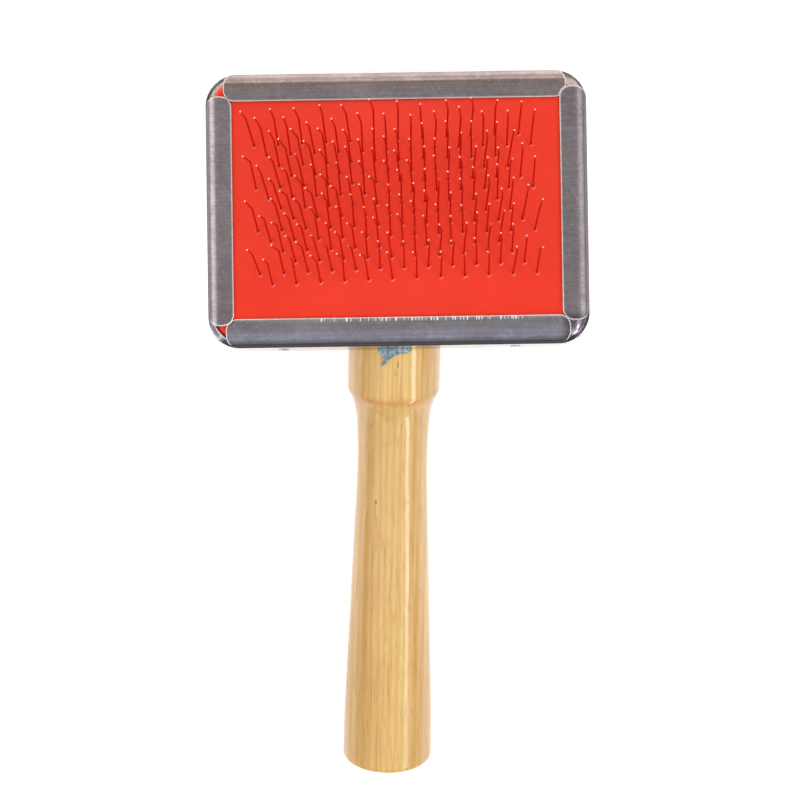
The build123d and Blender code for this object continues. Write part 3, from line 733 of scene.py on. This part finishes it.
# painted shade along the outermost roll of the strip, except on the far side
outline_shade = s.math("MULTIPLY", s.span(reach, 0.85, 0.3, 0.0, 0.7), s.math("SUBTRACT", 1.0, far_side))
colour = s.mix(outline_shade, colour, (0.13, 0.115, 0.115))
# painted warm reflection on the far shoulder
far_warm_reflection = s.product(far_side, s.span(z, FACE_Z - 1.4, FACE_Z - 0.6))
colour = s.mix(far_warm_reflection, colour, (1.04, 0.95, 0.88), "MULTIPLY")
# bright ticks along the inner edge of the lower flange: burrs with painted glints of the pins
burr_glint = s.noise(s.coords(HEAD_MATRIX, ORIGIN, (1, 30, 30)), 3.2, 2.0, 0.6)
at_edge = s.product(s.span(y, -17.95, -17.8), s.span(y, -17.2, -17.3))
burr_glint = s.product(s.span(burr_glint, 0.555, 0.585), at_edge, s.product(s.span(x, -13.5, -12.5), s.span(x, 21.0, 19.0)))
# the left tongue's rounded end over the lower flange, drawn as a painted highlight on its cut edge with a
# painted shadow line outside it
from_x = s.math("SUBTRACT", x, TONGUE_AT[0])
from_y = s.math("SUBTRACT", y, TONGUE_AT[1])
from_centre = s.math("SQRT", s.math("ADD", s.product(from_x, from_x), s.product(from_y, from_y)))
in_corner = s.math("MULTIPLY", s.span(x, -28.3, -28.1), s.span(y, -16.3, -16.5))
in_corner = s.math("MULTIPLY", in_corner, s.span(x, -25.0, -25.2))
off_line = s.math("ABSOLUTE", s.math("SUBTRACT", from_centre, TONGUE_R))
off_shadow = s.math("ABSOLUTE", s.math("SUBTRACT", from_centre, TONGUE_SHADOW_R))
tongue_edge_highlight = s.product(in_corner, s.span(off_line, 0.15, 0.07))
tongue_shadow = s.product(in_corner, s.span(off_shadow, 0.13, 0.06))
colour = s.mix(s.math("MULTIPLY", tongue_shadow, 0.8), colour, (0.07, 0.06, 0.06))
burr_glint = s.math("MAXIMUM", burr_glint, tongue_edge_highlight)
# the wall beside the handle is clean, under a painted shadow line where the shoulder ends
near_wall = s.span(y, -20.4, -20.9)
below_face = s.span(z, FACE_Z - 0.1, FACE_Z - 0.6)
above_wall = s.span(z, FACE_Z - 1.9, FACE_Z - 1.4)
shoulder_shadow_line = s.product(near_wall, s.product(below_face, above_wall))
clean = s.math("MULTIPLY", near_wall, s.span(z, FACE_Z - 1.3, FACE_Z - 1.8))
colour = s.mix(clean, colour, (0.9, 0.88, 0.87))
colour = s.mix(shoulder_shadow_line, colour, (0.05, 0.045, 0.045))
# cut edges and burrs: bare metal lightened into a painted highlight, partly non-metallic so it stays white
bare_edge_highlight = s.math("MAXIMUM", burr_glint, s.math("MULTIPLY", edge, s.span(z, FACE_Z - 0.3, FACE_Z - 0.05)))
colour = s.mix(bare_edge_highlight, colour, (1.0, 0.93, 0.89))
s.set("Base Color", colour)
s.set("Metallic", s.math("SUBTRACT", s.span(shoulder_shadow_line, 0.0, 1.0, 1.0, 0.05), s.math("MULTIPLY", bare_edge_highlight, 0.75)))
s.set("Specular IOR Level", s.span(shoulder_shadow_line, 0.0, 1.0, 0.5, 0.05))
s.bsdf.inputs["Specular Tint"].default_value = (0.62, 0.6, 0.6, 1)
rough = s.span(stain, 0.3, 0.7, 0.17, 0.28)
rough = s.math("SUBTRACT", rough, s.math("MULTIPLY", scratch, 0.08))
rough = s.math("SUBTRACT", rough, s.math("MULTIPLY", clean, 0.1))
s.set("Roughness", s.math("MAXIMUM", rough, s.math("MULTIPLY", shoulder_shadow_line, 0.9)))
rounded = s.node("ShaderNodeBevel", {"Radius": 0.12 * MM}, samples=4).outputs[0]
rolled = s.bump(roll, 1.0, 1.0, rounded)
dents = s.math("ADD", s.noise(place, 0.3, 2.0), s.math("MULTIPLY", scratch, 0.05))
s.set("Normal", s.bump(dents, 0.12, 0.4, rolled))
tin = s

# tacks, screws, glue
s = Shader("tack_steel", Metallic=1.0, Roughness=0.35)
place = s.coords(HEAD_MATRIX, ORIGIN)
s.set("Base Color", s.ramp(s.noise(place, 1.5, 3.0), [(0.35, (0.50, 0.48, 0.47)), (0.7, (0.70, 0.68, 0.67))]))
s.set("Roughness", s.span(s.noise(place, 2.5, 3.0), 0.3, 0.7, 0.28, 0.45))
tack_steel = s

s = Shader("screw_steel", Metallic=1.0, Roughness=0.3)
place = s.coords(HEAD_MATRIX, ORIGIN)
s.set("Base Color", s.ramp(s.noise(place, 0.8, 3.0), [(0.3, (0.55, 0.50, 0.38)), (0.7, (0.70, 0.68, 0.62))]))
s.set("Normal", s.bump(s.noise(place, 6.0, 2.0), 0.01, 0.4))
screw_steel = s

s = Shader("glue", Roughness=0.12, Specular_IOR_Level=0.6, Coat_Weight=0.6, Coat_Roughness=0.05)
place = s.coords(HEAD_MATRIX, ORIGIN)
s.set("Base Color", s.ramp(s.noise(place, 1.6, 4.0, 0.7), [
    (0.35, (0.05, 0.10, 0.12)), (0.5, (0.11, 0.19, 0.21)), (0.66, (0.40, 0.55, 0.55)),
]))
s.set("Normal", s.bump(s.noise(place, 1.3, 3.0), 0.4, 1.0))
glue = s

for name, piece in nodes.items():
    for key, shader in (
        ("handle_screws", screw_steel),
        ("handle", handle_wood),
        ("head_board", board_wood),
        ("staple_row", pin_wire),
        ("edge_strip", tin),
        ("edge_tacks", tack_steel),
        ("glue_bead", glue),
        ("cushion_pad", foam),
        ("cloth_foundation", woven),
        ("rubber_face", red_rubber),
    ):
        if name.startswith(key):
            dress(piece, shader)
            break

dress(rubber, red_rubber)
dress(lips, lip_rubber)
dress(pad, foam)
dress(cloth, woven)
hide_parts("rubber_face")
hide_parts("rubber_face")
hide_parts("cushion_pad")
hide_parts("cloth_foundation")

# ------------------------------------------------------------------ floor
bpy.ops.mesh.primitive_grid_add(x_subdivisions=8, y_subdivisions=8, size=8.0, location=(0, 0, cad_low.z))
floor = bpy.context.object
floor.name = "floor"
s = Shader("floor", Roughness=0.8, Specular_IOR_Level=0.1)
where = s.node("ShaderNodeTexCoord").outputs["Object"]
s.set("Base Color", s.ramp(s.noise(where, 3.0), [(0.3, (0.86, 0.86, 0.86)), (0.7, (0.89, 0.89, 0.89))]))
s.set("Emission Color", (1.0, 1.0, 1.0))
s.set("Emission Strength", 0.5)
dress(floor, s)

# ------------------------------------------------------------------ camera, in the head's frame
CAM_AZ = math.radians(0.23)
CAM_EL = math.radians(3.2)
CAM_ROLL = math.radians(-0.86)
CAM_FAR = 773.1
SENSOR = 36
FOCAL_PX = 4891.6
FRAME_PX = 800
CAM_AIM = (-0.03, -30.45, 9.8)
back = head_dir(math.sin(CAM_AZ) * math.cos(CAM_EL), -math.sin(CAM_EL), math.cos(CAM_AZ) * math.cos(CAM_EL))
up = head_dir(0, 1, 0)
right = up.cross(back).normalized()
up = back.cross(right)
roll_right = right * math.cos(CAM_ROLL) + up * math.sin(CAM_ROLL)
roll_up = up * math.cos(CAM_ROLL) - right * math.sin(CAM_ROLL)
aim = Vector(from_head([CAM_AIM])[0])
lens = bpy.data.cameras.new("camera")
lens.lens = FOCAL_PX / FRAME_PX * SENSOR
lens.sensor_width = SENSOR
lens.clip_start, lens.clip_end = 0.01, 20
camera = bpy.data.objects.new("camera", lens)
turn = Matrix((roll_right, roll_up, back)).transposed().to_4x4()
camera.matrix_world = Matrix.Translation(aim + back * CAM_FAR * MM) @ turn
scene.collection.objects.link(camera)
scene.camera = camera

# ------------------------------------------------------------------ studio light
flat_back = back - axis * back.dot(axis)
upright = flat_back.length
e1 = flat_back.normalized()
e2 = axis.cross(e1).normalized()


def softbox(name, turn_deg, distance, width, length, power, tint=(1, 1, 1)):
    """A long soft light that the handle's lacquer mirrors as one highlight, turned about the handle's axis."""
    t = math.radians(turn_deg)
    way = -axis * back.dot(axis) + (e1 * math.cos(t) + e2 * math.sin(t)) * upright
    light = bpy.data.lights.new(name, "AREA")
    light.shape = "RECTANGLE"
    light.size, light.size_y = width, length
    light.energy = power
    light.color = tint
    lamp = bpy.data.objects.new(name, light)
    target = Vector((0, 0, 0.01))
    lamp.location = target + way * distance
    z = way.normalized()
    y = (axis - z * axis.dot(z)).normalized()
    turn = Matrix((y.cross(z), y, z)).transposed().to_4x4()
    lamp.matrix_world = Matrix.Translation(lamp.location) @ turn
    lamp.visible_camera = False
    scene.collection.objects.link(lamp)


softbox("fill_left", -60, 1.5, 0.22, 1.5, 1.6, (1.0, 0.96, 0.9))
softbox("key_right", 51, 1.5, 0.26, 1.5, 9.5, (1.0, 0.985, 0.96))

# A light tent: its radiance by angle from the head's normal is dim straight above the face, brightest
# in a ring between 45 and 64 degrees, and dim again toward the horizon.
world = bpy.data.worlds.new("studio")
world.use_nodes = True
tree = world.node_tree
where = tree.nodes.new("ShaderNodeTexCoord")
dot = tree.nodes.new("ShaderNodeVectorMath")
dot.operation = "DOT_PRODUCT"
dot.inputs[1].default_value = tuple(head_z)
tree.links.new(where.outputs["Generated"], dot.inputs[0])
ring = tree.nodes.new("ShaderNodeValToRGB")
tree.links.new(dot.outputs["Value"], ring.inputs[0])
TENT = ((88, 0.5), (76, 0.95), (64, 1.92), (45, 1.92), (25, 0.44))
while len(ring.color_ramp.elements) < len(TENT):
    ring.color_ramp.elements.new(0.5)
for element, (angle, value) in zip(ring.color_ramp.elements, TENT):
    element.position = math.cos(math.radians(angle))
    element.color = (value, value, value, 1)


def shade_by(direction, stops):
    """A tint of the tent that changes along one direction."""
    along = tree.nodes.new("ShaderNodeVectorMath")
    along.operation = "DOT_PRODUCT"
    along.inputs[1].default_value = tuple(direction)
    tree.links.new(where.outputs["Generated"], along.inputs[0])
    half = tree.nodes.new("ShaderNodeMath")
    half.operation = "MULTIPLY_ADD"
    half.inputs[1].default_value = half.inputs[2].default_value = 0.5
    tree.links.new(along.outputs["Value"], half.inputs[0])
    tint = tree.nodes.new("ShaderNodeValToRGB")
    tree.links.new(half.outputs[0], tint.inputs[0])
    while len(tint.color_ramp.elements) < len(stops):
        tint.color_ramp.elements.new(0.5)
    for element, (place, colour) in zip(tint.color_ramp.elements, stops):
        element.position = (place + 1) / 2
        element.color = (*colour, 1)
    return tint.outputs[0]


def times(a, b):
    mixer = tree.nodes.new("ShaderNodeMix")
    mixer.data_type, mixer.blend_type = "RGBA", "MULTIPLY"
    mixer.inputs[0].default_value = 1.0
    tree.links.new(a, mixer.inputs[6])
    tree.links.new(b, mixer.inputs[7])
    return mixer.outputs[2]


TINT_BY_Y = ((-1, (0.6, 0.63, 0.67)), (-0.4, (0.84, 0.87, 0.91)), (0.1, (1, 1, 1)), (0.9, (1.08, 0.99, 0.9)))
TINT_BY_X = ((-0.5, (1.05, 1.05, 1.05)), (0.1, (1, 1, 1)), (0.8, (0.7, 0.71, 0.74)))
tent = times(ring.outputs[0], shade_by(head_y, TINT_BY_Y))
tent = times(tent, shade_by(head_x, TINT_BY_X))
tree.links.new(tent, tree.nodes["Background"].inputs[0])
tree.nodes["Background"].inputs[1].default_value = 1.0
scene.world = world
scene.view_settings.view_transform = "Standard"
scene.view_settings.look = "None"
